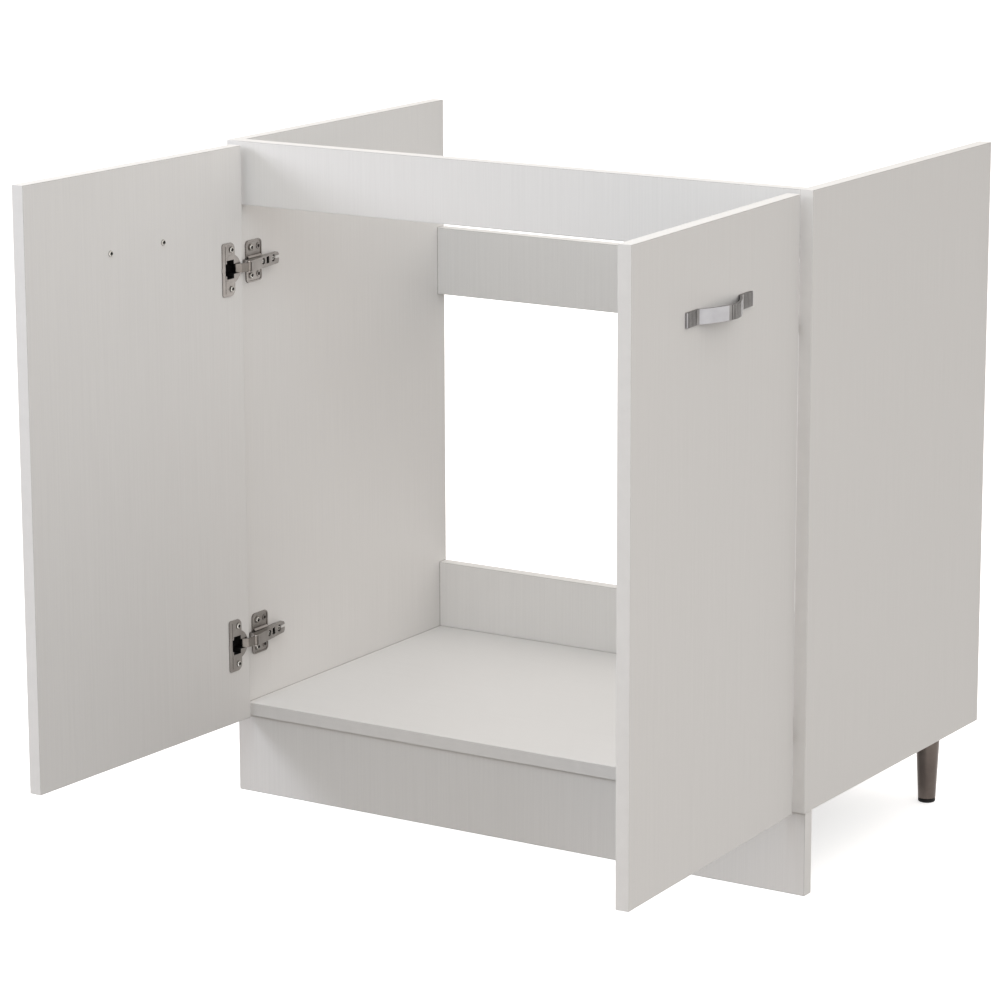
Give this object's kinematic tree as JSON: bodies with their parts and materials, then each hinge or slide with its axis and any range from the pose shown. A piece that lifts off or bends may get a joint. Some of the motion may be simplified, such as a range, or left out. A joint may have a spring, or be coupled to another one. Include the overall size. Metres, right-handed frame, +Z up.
{
  "type": "sink base cabinet",
  "caption": "White sink base cabinet with hinged doors, open top for the sink, open back for the pipes, full-width plinth board and adjustable rear legs.",
  "frame": {"origin": "on the floor, under the middle of the plinth board: the middle of its underside", "axes": "+X to the right seen from the front, +Y from the doors to the back, +Z up"},
  "size_m": [0.8392, 0.86, 0.82],
  "materials": {
    "white_board": "white melamine-faced board with a fine upright grain and white edge banding",
    "hinge_steel": "nickel-plated pressed steel",
    "screw_steel": "zinc-plated steel",
    "handle_nickel": "satin bright nickel",
    "dark_nickel": "dark brushed nickel",
    "black_plastic": "black plastic"
  },
  "bodies": {
    "cabinet": {"left_side_panel": "white_board", "right_side_panel": "white_board", "bottom_panel": "white_board", "front_top_rail": "white_board", "rear_top_rail": "white_board", "rear_bottom_rail": "white_board", "plinth_board": "white_board", "left_plinth_bracket": "hinge_steel", "right_plinth_bracket": "hinge_steel", "left_front_cam_connector": "screw_steel", "left_rear_cam_connector": "screw_steel", "right_front_cam_connector": "screw_steel", "right_rear_cam_connector": "screw_steel", "left_leg_plate": "hinge_steel", "left_leg_tube": "dark_nickel", "right_leg_plate": "hinge_steel", "right_leg_tube": "dark_nickel", "left_lower_mounting_plate": "hinge_steel", "left_lower_plate_screw_a": "screw_steel", "left_lower_plate_screw_b": "screw_steel", "left_lower_hinge_arm": "hinge_steel", "left_upper_mounting_plate": "hinge_steel", "left_upper_plate_screw_a": "screw_steel", "left_upper_plate_screw_b": "screw_steel", "left_upper_hinge_arm": "hinge_steel", "right_lower_mounting_plate": "hinge_steel", "right_lower_plate_screw_a": "screw_steel", "right_lower_plate_screw_b": "screw_steel", "right_lower_hinge_arm": "hinge_steel", "right_upper_mounting_plate": "hinge_steel", "right_upper_plate_screw_a": "screw_steel", "right_upper_plate_screw_b": "screw_steel", "right_upper_hinge_arm": "hinge_steel"},
    "left_door": {"left_door_panel": "white_board", "left_handle": "handle_nickel", "left_handle_screw_a": "screw_steel", "left_handle_screw_b": "screw_steel", "left_lower_hinge_cup": "hinge_steel", "left_lower_cup_screw_a": "screw_steel", "left_lower_cup_screw_b": "screw_steel", "left_upper_hinge_cup": "hinge_steel", "left_upper_cup_screw_a": "screw_steel", "left_upper_cup_screw_b": "screw_steel"},
    "left_hinge_links": {"left_lower_hinge_link": "hinge_steel", "left_upper_hinge_link": "hinge_steel"},
    "left_foot": {"left_leg_foot": "black_plastic"},
    "right_door": {"right_door_panel": "white_board", "right_handle": "handle_nickel", "right_handle_screw_a": "screw_steel", "right_handle_screw_b": "screw_steel", "right_lower_hinge_cup": "hinge_steel", "right_lower_cup_screw_a": "screw_steel", "right_lower_cup_screw_b": "screw_steel", "right_upper_hinge_cup": "hinge_steel", "right_upper_cup_screw_a": "screw_steel", "right_upper_cup_screw_b": "screw_steel"},
    "right_hinge_links": {"right_lower_hinge_link": "hinge_steel", "right_upper_hinge_link": "hinge_steel"},
    "right_foot": {"right_leg_foot": "black_plastic"}
  },
  "joints": [
    {"name": "left_door_swing", "type": "hinge", "parent": "cabinet", "child": "left_door", "pos_m": [-0.3882, -0.029, 0.458], "axis": [0, 0, 1], "range_deg": [-2.7, 92.3]},
    {"name": "left_link_swing", "type": "hinge", "parent": "cabinet", "child": "left_hinge_links", "pos_m": [-0.3672, -0.0145, 0.4335], "axis": [0, 0, 1], "range_deg": [-55, 2]},
    {"name": "left_foot_travel", "type": "slide", "parent": "cabinet", "child": "left_foot", "axis": [0, 0, -1], "range_m": [0, 0.012]},
    {"name": "right_door_swing", "type": "hinge", "parent": "cabinet", "child": "right_door", "pos_m": [0.3882, -0.029, 0.458], "axis": [0, 0, -1], "range_deg": [-2.7, 92.3]},
    {"name": "right_link_swing", "type": "hinge", "parent": "cabinet", "child": "right_hinge_links", "pos_m": [0.3672, -0.0145, 0.4335], "axis": [0, 0, -1], "range_deg": [-55, 2]},
    {"name": "right_foot_travel", "type": "slide", "parent": "cabinet", "child": "right_foot", "axis": [0, 0, -1], "range_m": [0, 0.012]}
  ],
  "couplings": [
    {"joint": "left_link_swing", "follows": "left_door_swing", "ratio": -0.59},
    {"joint": "right_link_swing", "follows": "right_door_swing", "ratio": -0.59}
  ]
}
